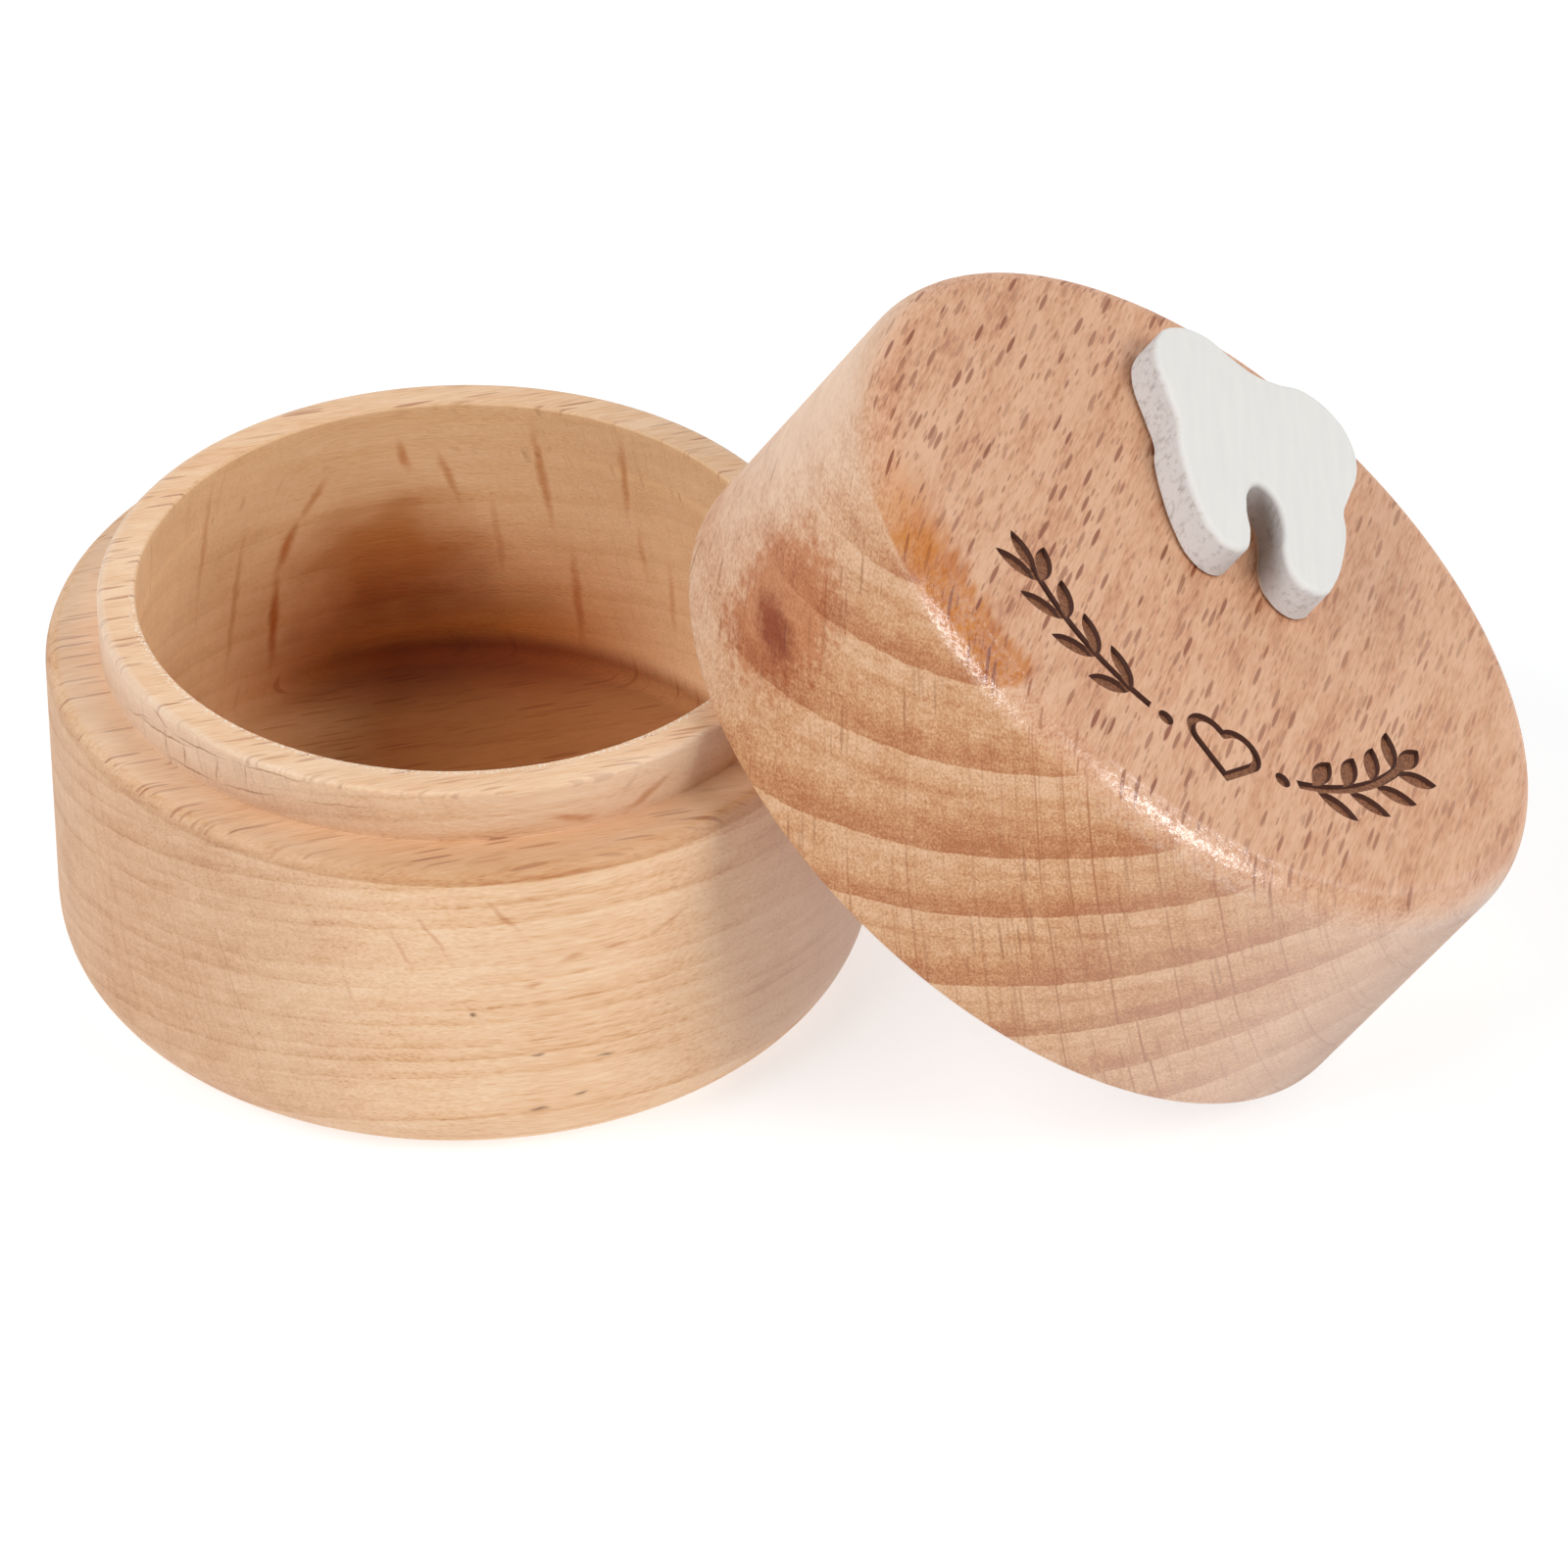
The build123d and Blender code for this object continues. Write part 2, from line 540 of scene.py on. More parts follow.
def farAlong(tree, place, way):  # how far a place lies that way
    if way == outward:
        level = addNode(tree, "VectorMath", {0: place, 1: outward}, operation="MULTIPLY")
        return addNode(tree, "VectorMath", {0: level}, operation="LENGTH").outputs["Value"]
    return addNode(tree, "VectorMath", {0: place, 1: way}, operation="DOT_PRODUCT").outputs["Value"]


def fade(tree, place, way, start, full, low=0.0, high=1.0, **settings):  # a share that changes that way
    ends = {"From Min": start, "From Max": full, "To Min": low, "To Max": high}
    return addNode(tree, "MapRange", {"Value": farAlong(tree, place, way), **ends}, **settings)


def whereAll(tree, *shares):  # strong only where each of the shares is
    together = shares[0]
    for share in shares[1:]:
        together = addNode(tree, "Math", {0: together, 1: share}, operation="MULTIPLY")
    return together


def strongest(tree, shares):
    most = 0.0
    for share in shares:
        most = addNode(tree, "Math", {0: share, 1: most}, operation="MAXIMUM")
    return most


def fadeAll(tree, place, spans, **settings):
    return whereAll(tree, *[fade(tree, place, *span, **settings) for span in spans])


def alongStops(tree, spot, stops):  # a share given at some spots, with straight lines between them
    low, high = stops[0][0], stops[-1][0]
    stops = [((place - low) / (high - low), grey(share)) for place, share in stops]
    spot = addNode(tree, "MapRange", {"Value": spot, "From Min": low, "From Max": high})
    return addNode(tree, "ValToRGB", {0: spot}, stops=stops)


# What both pieces of beech share, in millimetres
beech = {
    "ripple": (0.16, 0.8, 0.8),
    "endGrain": {"From Min": 0.3, "From Max": 0.85},  # how squarely a wall cuts the fibre
    "rayEdge": 0.75,
    "faintest": 0.3,  # the faintest ray or crack, as a share of the strongest
    "crackLine": (0.1, 0.03),
    "crackStep": 0.35,
    "crackBreaks": (0.1, 0.9, 0.14),
    "crackEnds": {"From Min": -0.16, "From Max": 0.02},
    "crackDepth": 0.35,
    "vesselCell": (2.8, 0.2, 0.2),
    "vesselEdge": {"From Min": 0.5, "From Max": 0.15},
    "vesselShare": 0.2,
    "streaks": (0.06, 0.5, 0.5),
    "relief": 0.04,
    "ior": 1.47,
}

# How each block of beech lay in the lathe, in the piece's own place, and what its grain shows. Lengths are in
# millimetres: ring edges lie across the year rings, ray cells along, round and across them. A noise has its
# stretch and share, a layer of rays its cell, radius and strength, a layer of cracks its gap and strength.
cupBeech = {
    "fibre": (0.961, 0.276, 0.0),
    "ringNormal": (-0.059, 0.206, 0.977),
    "ringEdges": [
        -8.6, -6.3, -4.5, -2.1, -0.4, 1.4, 2.9, 4.0, 5.9, 7.0, 8.9, 10.4, 12.0, 13.5, 15.0, 16.6, 18.6, 20.2,
        22.1, 23.9, 26.1, 27.9, 30.1, 35.5,
    ],
    "ringBend": 0.0,
    "ringBendAt": 0.0,
    "ringTones": [(0.0, 0.9), (0.1, 0.75), (0.3, 0.5), (0.6, 0.15), (0.94, 0.0), (1.0, 0.9)],
    "ringShare": 0.26,
    "ringOnFlat": 0.3,
    "ringOnSide": 1.15,
    "ringVary": 0.9,
    "wander": (0, 0.9, 2.6),
    "wanderScale": 0.035,
    "ripple": 0.2,
    "colours": ["#f6d3b0", "#e8bb90", "#cc8c58"],
    "endColours": ["#eec8a6", "#dcae89", "#bf875f"],
    "base": 0.26,
    "noises": [
        ((0.05, 0.16, 0.3), 0.8), ((0.12, 1.3, 1.6), 0.5), ((0.05, 0.35, 2.6), 0.5), ((0.7, 7.0, 7.0), 0.9),
    ],
    "streakShare": 0.4,
    "rays": [((5.2, 0.42, 9.0), 0.32, 1.0), ((2.6, 0.24, 5.0), 0.26, 0.4)],
    "rayColour": "#9a4e24",
    "raysOnWall": 0.0,
    "rayOnFlat": 0.6,
    "rayOnWall": 0.3,
    "raysGrow": (toRight, -27.5, 27.5, 1.1, 0.9),
    "cracks": [(1.7, 0.3), (0.7, 0.15)],
    "cracksOnSide": 0.0,
    "cracksGrow": (upward, 23.8, 24.3, 1.0, 2.2),
    "crackColour": "#b07a52",
    "flatStops": [
        (0.0, 0), (23.4, 0), (24.0, 1), (24.25, 1), (24.5, 0.12), (27.3, 0.12), (27.7, 1), (28.2, 1),
    ],
}
capBeech = {
    "fibre": (0.315, 0.949, 0.0),
    "ringNormal": (-0.636, 0.211, 0.74),
    "ringEdges": [-26.0, -21.5, -16.0, -12.0, -7.9, -3.9, 0.1, 5.3, 9.65, 15.75, 21.2, 25.9, 30.4, 36.0],
    "ringBend": 0.006,
    "ringBendAt": -4.0,
    "ringTones": [
        (0.0, 1.0), (0.2, 0.86), (0.38, 0.45), (0.6, 0.2),
        (0.68, 0.42), (0.78, 0.06), (0.985, 0.0), (1.0, 1.0),
    ],
    "ringShare": 0.6,
    "ringOnFlat": 0.08,
    "ringOnSide": 0.2,
    "ringVary": 0.2,
    "wander": (0, 1.0, 1.0),
    "wanderScale": 0.05,
    "ripple": 0.16,
    "colours": ["#efcbad", "#dcac8a", "#b1795a"],
    "endColours": ["#e6bb95", "#cf986a", "#b16c41"],
    "base": 0.2,
    "noises": [
        ((0.05, 0.16, 0.3), 0.6), ((0.3, 0.7, 0.7), 0.7), ((0.1, 0.5, 3.0), 0.5), ((0.7, 6.0, 6.0), 1.5),
    ],
    "streakShare": 1.1,
    "rays": [((4.6, 0.42, 6.0), 0.31, 1.0), ((2.2, 0.24, 4.0), 0.29, 0.6)],
    "rayColour": "#8f4f24",
    "raysOnWall": 0.3,
    "rayOnFlat": 0.95,
    "rayOnWall": 0.45,
    "raysGrow": (toRight, -4.0, 24.0, 1.05, 0.55),
    "cracks": [(1.8, 0.85), (0.8, 0.35)],
    "cracksOnSide": 0.7,
    "cracksGrow": (toRight, -22.0, -9.0, 0.25, 1.0),
    "crackColour": "#a0592a",
    "flatStops": [(0.0, 0), (18.6, 0), (20.2, 1), (21.0, 1)],
}


def blockRows(wood):  # along the fibre, round the rings and out across them
    fibre = Vector(wood["fibre"]).normalized()
    across = Vector(wood["ringNormal"]).normalized()
    return (fibre, across.cross(fibre), across)


def millimetres(tree, where, rows=(toRight, toRear, upward)):  # place in a piece that stands there
    turned = Matrix(rows) @ where.to_3x3().inverted()
    start = turned @ where.to_translation() / mm
    coords = addNode(tree, "TexCoord", {})
    settings = {"Vector": coords.outputs["Object"], "Location": -start, "Rotation": turned.to_euler()}
    return addNode(tree, "Mapping", {**settings, "Scale": (1 / mm, 1 / mm, 1 / mm)})


def sway(tree, place, most, noise):  # moves a place to and fro
    drift = addNode(tree, "TexNoise", noise).outputs["Color"]
    drift = addNode(tree, "VectorMath", {0: drift, 1: (0.5, 0.5, 0.5)}, operation="SUBTRACT")
    drift = addNode(tree, "VectorMath", {0: drift, 1: most}, operation="MULTIPLY")
    return addNode(tree, "VectorMath", {0: place, 1: drift}, operation="ADD")


def wanderGrain(tree, wood, grain):  # lets the rings drift a little, slowly along the fibre
    slow = addNode(tree, "VectorMath", {0: grain, 1: (0.3, 1, 1)}, operation="MULTIPLY")
    return sway(tree, grain, wood["wander"], {"Vector": slow, "Scale": wood["wanderScale"], "Detail": 1.0})


def grainNoise(tree, grain, stretch, detail=2.0):  # noise drawn out along the fibre, about 0
    drawn = addNode(tree, "VectorMath", {0: grain, 1: stretch}, operation="MULTIPLY")
    noise = addNode(tree, "TexNoise", {"Vector": drawn, "Scale": 1.0, "Detail": detail, "Roughness": 0.6})
    return addNode(tree, "Math", {0: noise, 1: 0.5}, operation="SUBTRACT")


def ringDepth(tree, wood, grain):  # 0 where a year ring is pale and 1 where it is deep, and the ring's number
    parts = addNode(tree, "SeparateXYZ", {0: grain})
    off = addNode(tree, "Math", {0: parts.outputs["Y"], 1: wood["ringBendAt"]}, operation="SUBTRACT")
    bow = whereAll(tree, off, off)
    bow = {0: bow, 1: -wood["ringBend"], 2: parts.outputs["Z"]}
    bow = addNode(tree, "Math", bow, operation="MULTIPLY_ADD")
    ripple = grainNoise(tree, grain, beech["ripple"], 1.0)
    bow = addNode(tree, "Math", {0: ripple, 1: 2 * wood["ripple"], 2: bow}, operation="MULTIPLY_ADD")
    count = len(wood["ringEdges"]) - 1
    phase = alongStops(tree, bow, [(edge, number / count) for number, edge in enumerate(wood["ringEdges"])])
    phase = whereAll(tree, phase, count)
    tone = alongStops(tree, addNode(tree, "Math", {0: phase}, operation="FRACT"), wood["ringTones"])
    number = addNode(tree, "Math", {0: phase}, operation="FLOOR")
    chance = addNode(tree, "TexWhiteNoise", {"W": number}, noise_dimensions="1D")
    spread = {"Value": chance, "To Min": 1 - wood["ringVary"], "To Max": 1 + wood["ringVary"] / 2}
    return whereAll(tree, tone, addNode(tree, "MapRange", spread)), number


def rayMarks(tree, wood, grain, flat):  # the rays of beech, spindles cut as dashes: how strong each one is
    fewest = addNode(tree, "MapRange", {"Value": flat, "To Min": 1 - wood["raysOnWall"], "To Max": 0.0})
    marks = []
    for cell, radius, most in wood["rays"]:
        cells = addNode(tree, "VectorMath", {0: grain, 1: cell}, operation="DIVIDE")
        rays = addNode(tree, "TexVoronoi", {"Vector": cells, "Scale": 1.0})
        near = {"Value": rays.outputs["Distance"], "From Min": radius, "From Max": beech["rayEdge"] * radius}
        chance = addNode(tree, "SeparateXYZ", {0: rays.outputs["Color"]})
        kept = addNode(tree, "Math", {0: chance.outputs["X"], 1: fewest}, operation="GREATER_THAN")
        own = {"Value": chance.outputs["Y"], "To Min": beech["faintest"] * most, "To Max": most}
        marks.append(whereAll(tree, addNode(tree, "MapRange", near), kept, addNode(tree, "MapRange", own)))
    share = {"Value": flat, "To Min": wood["rayOnWall"], "To Max": wood["rayOnFlat"]}
    return whereAll(tree, strongest(tree, marks), addNode(tree, "MapRange", share))


def vesselMarks(tree, grain):  # open vessels: dots in end grain, fine lines along the fibre elsewhere
    cells = addNode(tree, "VectorMath", {0: grain, 1: beech["vesselCell"]}, operation="DIVIDE")
    vessels = addNode(tree, "TexVoronoi", {"Vector": cells, "Scale": 1.0}).outputs["Distance"]
    return addNode(tree, "MapRange", {"Value": vessels, **beech["vesselEdge"]})


def endShare(tree, wood, place, flat):  # 1 where the round wall cuts straight across the fibre
    level = addNode(tree, "VectorMath", {0: place, 1: outward}, operation="MULTIPLY")
    facing = addNode(tree, "VectorMath", {0: level}, operation="NORMALIZE")
    along = addNode(tree, "Math", {0: farAlong(tree, facing, wood["fibre"])}, operation="ABSOLUTE")
    along = addNode(tree, "MapRange", {"Value": along, **beech["endGrain"]}, interpolation_type="SMOOTHSTEP")
    return whereAll(tree, along, addNode(tree, "Math", {0: 1.0, 1: flat}, operation="SUBTRACT"))


def endCracks(tree, wood, grain, number):  # rays in end grain: thin lines that stop or step at ring edges
    jog = addNode(tree, "TexWhiteNoise", {"W": number}, noise_dimensions="1D")
    across = {0: jog, 1: beech["crackStep"], 2: farAlong(tree, grain, toRear)}
    across = addNode(tree, "Math", across, operation="MULTIPLY_ADD")
    broken = {"Value": grainNoise(tree, grain, beech["crackBreaks"]), **beech["crackEnds"]}
    edge, core = beech["crackLine"]
    marks = []
    for gap, most in wood["cracks"]:
        place = addNode(tree, "Math", {0: across, 1: gap}, operation="DIVIDE")
        lines = addNode(tree, "TexVoronoi", {"W": place, "Scale": 1.0}, voronoi_dimensions="1D")
        thin = {"Value": lines.outputs["Distance"], "From Min": edge / gap, "From Max": core / gap}
        own = addNode(tree, "SeparateXYZ", {0: lines.outputs["Color"]}).outputs["X"]
        own = {"Value": own, "To Min": beech["faintest"] * most, "To Max": most}
        marks.append(whereAll(tree, addNode(tree, "MapRange", thin), addNode(tree, "MapRange", own)))
    return whereAll(tree, strongest(tree, marks), addNode(tree, "MapRange", broken))


def woodTone(tree, depth, codes):  # from the palest wood to the deepest
    stops = [(number / 2, linearColour(code)) for number, code in enumerate(codes)]
    return addNode(tree, "ValToRGB", {0: depth}, stops=stops)


def growBeech(tree, wood, where):  # colour, relief, place in the piece and in the block, level faces
    place = millimetres(tree, where)
    grain = wanderGrain(tree, wood, millimetres(tree, where, blockRows(wood)))
    flat = alongStops(tree, farAlong(tree, place, upward), wood["flatStops"])
    ends = endShare(tree, wood, place, flat)
    rings, number = ringDepth(tree, wood, grain)
    most = wood["ringShare"]
    walls = addNode(tree, "MapRange", {"Value": ends, "To Min": most * wood["ringOnSide"], "To Max": most})
    shown = addNode(tree, "MapRange", {"Value": flat, "To Min": walls, "To Max": most * wood["ringOnFlat"]})
    fibres = [(grainNoise(tree, grain, stretch), share) for stretch, share in wood["noises"]]
    streaks = whereAll(tree, grainNoise(tree, grain, beech["streaks"]), flat)
    vessels = vesselMarks(tree, grain)
    layers = [(rings, shown), *fibres, (streaks, wood["streakShare"]), (vessels, beech["vesselShare"])]
    depth = wood["base"]
    for layer, share in layers:
        depth = addNode(tree, "Math", {0: layer, 1: share, 2: depth}, operation="MULTIPLY_ADD")
    tones = {"A": woodTone(tree, depth, wood["colours"]), "B": woodTone(tree, depth, wood["endColours"])}
    colour = addNode(tree, "Mix", {"Factor": ends, **tones}, data_type="RGBA")
    rays = whereAll(tree, rayMarks(tree, wood, grain, flat), fade(tree, place, *wood["raysGrow"]))
    colour = tintBy(tree, colour, rays, wood["rayColour"], "MIX")
    wall = addNode(tree, "MapRange", {"Value": flat, "To Min": wood["cracksOnSide"], "To Max": 0.0})
    wall = addNode(tree, "Math", {0: ends, 1: wall}, operation="MAXIMUM")
    wall = whereAll(tree, wall, fade(tree, place, *wood["cracksGrow"]))
    cracks = whereAll(tree, endCracks(tree, wood, grain, number), wall)
    colour = tintBy(tree, colour, cracks, wood["crackColour"], "MIX")
    height = {0: cracks, 1: -beech["crackDepth"], 2: fibres[-1][0]}
    return colour, addNode(tree, "Math", height, operation="MULTIPLY_ADD"), place, grain, flat


def finish(tree, colour, height, roughness):  # no gloss of its own, and a relief that is just felt
    bump = addNode(tree, "Bump", {"Height": height, "Strength": 1.0, "Distance": beech["relief"] * mm})
    surface = {"Base Color": colour, "Roughness": roughness, "IOR": beech["ior"], "Normal": bump}
    feed(tree, tree.nodes["Principled BSDF"], surface)


def softPatch(tree, place, ragged, mark):  # 1 inside an egg-shaped patch with a ragged edge
    off = addNode(tree, "VectorMath", {0: place, 1: mark["centre"]}, operation="SUBTRACT")
    off = addNode(tree, "VectorMath", {0: off, 1: mark["radii"]}, operation="DIVIDE")
    far = addNode(tree, "VectorMath", {0: off}, operation="LENGTH").outputs["Value"]
    far = addNode(tree, "Math", {0: far, 1: ragged}, operation="ADD")
    edge = {"Value": far, "From Min": 1 + mark["soft"], "From Max": 1 - mark["soft"]}
    return addNode(tree, "MapRange", edge, interpolation_type="SMOOTHSTEP")


def drawLine(tree, place, centre, turn, radii, core, most, **settings):  # a spindle, full from core inwards
    spot = {"Vector": place, "Location": centre, "Rotation": (0, 0, radians(turn)), "Scale": radii}
    near = addNode(tree, "Mapping", spot, vector_type="TEXTURE")
    near = addNode(tree, "VectorMath", {0: near}, operation="LENGTH").outputs["Value"]
    near = {"Value": near, "From Min": 1.0, "From Max": core, "To Max": most}
    return addNode(tree, "MapRange", near, **settings)


def drawStrokes(tree, place, radius, strokes):  # thin marks on a round wall, a little shaky
    parts = addNode(tree, "SeparateXYZ", {0: place})
    turn = addNode(tree, "Math", {0: parts.outputs["Y"], 1: parts.outputs["X"]}, operation="ARCTAN2")
    wall = addNode(tree, "CombineXYZ", {"X": whereAll(tree, turn, radius), "Y": parts.outputs["Z"]})
    wall = sway(tree, wall, cupMarks["strokeSway"], {"Vector": place, **cupMarks["strokeNoise"]})
    marks = []
    for angle, height, length, width, tilt, strength in strokes:
        centre, radii = (radians(angle) * radius, height, 0), (length / 2, width / 2, 1)
        shape = (centre, tilt, radii, cupMarks["strokeCore"], strength)
        marks.append(drawLine(tree, wall, *shape, interpolation_type="SMOOTHSTEP"))
    return strongest(tree, marks)


# Marks on the cup's wood, and painted light and shade: where each one fades in and out, in millimetres. A
# stroke has its angle and height on the wall, its length and width, its tilt from level in degrees and how
# strong it is.
cupMarks = {
    "inside": (outward, boreRadius + 0.15, boreRadius + 0.05),
    "outside": (outward, cup["radius"] - 0.6, cup["radius"] - 0.3),
    "bottom": (upward, 9.8, 7.8),
    "collar": (upward, 24.1, 24.3),
    # painted shade: the shoulder darker and yellower towards the front, under the spigot
    "shoulder": [(outward, 23.8, 24.0), (upward, 23.1, 23.25), ((0.3, -0.95, 0), 8.25, 24.75, 0.3)],
    "shoulderShadeTint": "#e6d7c8",
    # painted shade: the outer wall darker towards its left
    "left": (toRight, -5.5, -20.625),
    "leftShadeTint": "#f2ede6",
    # painted light: the bore paler and yellower, as warm light bounced inside it
    "boreLightShare": 0.4,
    "boreLightColour": "#ffdaa5",
    # painted shade: the bore darker towards its floor, most at the rear
    "deep": [(upward, 21.0, 8.5), ((-0.1, 0.995, 0), 12.81, 21.35)],
    "deepShadeTint": "#c98d4c",
    "cloud": (0.25, 0.25, 0.35),
    "cloudShare": 0.8,
    # painted shade: two soft patches darken the rear of the bore low down, one warm and one cool
    "boreShades": [
        {"centre": (-5.8, 20.5, 15.6), "radii": (5.8, 9.0, 4.8), "soft": 0.65, "tint": "#cda57c"},
        {"centre": (-2.5, 20.8, 10.0), "radii": (8.5, 9.0, 3.8), "soft": 0.65, "tint": "#dde1e6"},
    ],
    # painted shade: the bore's floor darker, fading out towards its left
    "floorLeft": (toRight, -15.0, -5.0),
    "floorRight": (toRight, 5.0, 14.0, 1.0, 0.9),
    "floorShadeTint": "#b08963",
    "floorRayTint": "#c9a07c",
    # painted light: the spigot's outer wall paler towards its left and right sides, least at the front
    "collarLitSides": [(toRight, 4.0, 21.0, 0.1, 0.42), (outward, 23.3, 23.7)],
    "collarLightColour": "#f8e3cf",
    # painted light: the outer wall paler and cooler towards its right front, under the cap, as light bounced
    # from the floor
    "sideShading": [(toRight, 15.0, 26.0, 0.0, 0.6), (toRear, 4.0, -8.0)],
    "rightBounceColour": "#ead9ce",
    "tufts": [(outward, boreRadius + 0.7, boreRadius + 0.3), (upward, 27.5, 27.7), (toRear, 3.0, -6.0)],
    "tuftNoise": {"Scale": 4.5, "Detail": 1.0},
    "tuftEdge": {"From Min": 0.53, "From Max": 0.6},
    "tuftColour": "#f9e8d6",
    "roughness": {"From Min": -0.2, "From Max": 0.2, "To Min": 0.6, "To Max": 0.5},
    "bottomRoughness": 0.95,
    "strokeSway": (0.6, 0.6, 0),
    "strokeNoise": {"Scale": 0.7, "Detail": 3.0},
    "strokeCore": 0.1,
    "strokes": [
        ("bore", "#cf9455", "MULTIPLY", [
            (145.9, 22.8, 10.6, 0.9, 104, 0.4), (138.3, 16.5, 14.5, 0.9, 103, 0.45),
            (119.8, 22.0, 4.8, 1.1, 131, 0.6), (125.7, 18.9, 5.6, 1.3, 117, 0.85),
            (129.2, 13.4, 10.2, 1.2, 96, 0.9), (102.1, 24.0, 3.6, 1.1, 75, 0.65),
            (93.8, 22.0, 6.0, 0.9, 70, 0.55), (85.1, 17.2, 10.0, 0.8, 83, 0.3),
            (76.4, 22.4, 11.5, 1.0, 80, 0.6), (70.0, 12.7, 11.0, 1.0, 85, 0.6),
            (60.1, 23.7, 8.5, 0.9, 86, 0.55), (56.2, 18.0, 5.5, 0.8, 80, 0.35),
            (49.5, 15.3, 8.0, 0.8, 84, 0.4),
        ]),
        ("spigot", "#cf9455", "MULTIPLY", [
            (-70.5, 25.1, 4.6, 0.9, -13, 0.6), (-57.9, 25.3, 5.2, 0.9, 28, 0.6),
        ]),
        ("spigot", "#bd9d80", "MULTIPLY", [
            (-142.4, 27.3, 3.2, 0.26, -18, 0.7), (-133.0, 27.0, 6.6, 0.26, 4, 0.9),
            (-118.4, 27.45, 7.6, 0.24, 3, 0.7), (-149.6, 25.8, 5.2, 0.24, 17, 0.6),
            (-141.4, 26.2, 8.2, 0.26, 9, 0.9), (-135.0, 24.85, 6.0, 0.26, 3, 0.8),
            (-122.7, 25.4, 6.0, 0.24, 10, 0.7), (-107.9, 26.25, 6.0, 0.22, 6, 0.5),
            (-141.0, 25.8, 2.6, 0.24, 91, 0.6), (-136.4, 25.8, 2.7, 0.26, 89, 0.8),
            (-129.2, 25.8, 3.0, 0.24, 87, 0.6), (-123.4, 26.7, 2.4, 0.24, 88, 0.5),
        ]),
        ("side", "#cf9455", "MULTIPLY", [
            (-96.6, 18.1, 5.3, 0.5, -66, 0.3), (-92.3, 19.3, 6.1, 0.5, -59, 0.35),
            (-82.6, 20.6, 4.5, 0.6, -49, 0.45), (-58.9, 17.6, 3.8, 0.6, 25, 0.4),
            (-73.0, 16.7, 2.2, 0.8, 4, 0.4), (-67.0, 16.9, 2.8, 0.7, -3, 0.4),
            (-78.7, 14.9, 1.8, 0.6, 7, 0.4), (-104.0, 14.5, 4.0, 0.5, -70, 0.2),
            (-87.0, 13.0, 3.2, 0.5, -55, 0.2),
        ]),
        ("side", "#7c563f", "MIX", [
            (-78.2, 9.2, 1.4, 0.4, 8, 0.7), (-68.9, 8.3, 1.7, 0.4, -6, 0.7), (-72.4, 5.6, 1.6, 0.4, 0, 0.7),
            (-78.2, 4.7, 1.9, 0.45, -4, 0.75), (-87.1, 12.8, 0.6, 0.5, 0, 0.9),
        ]),
    ],
}


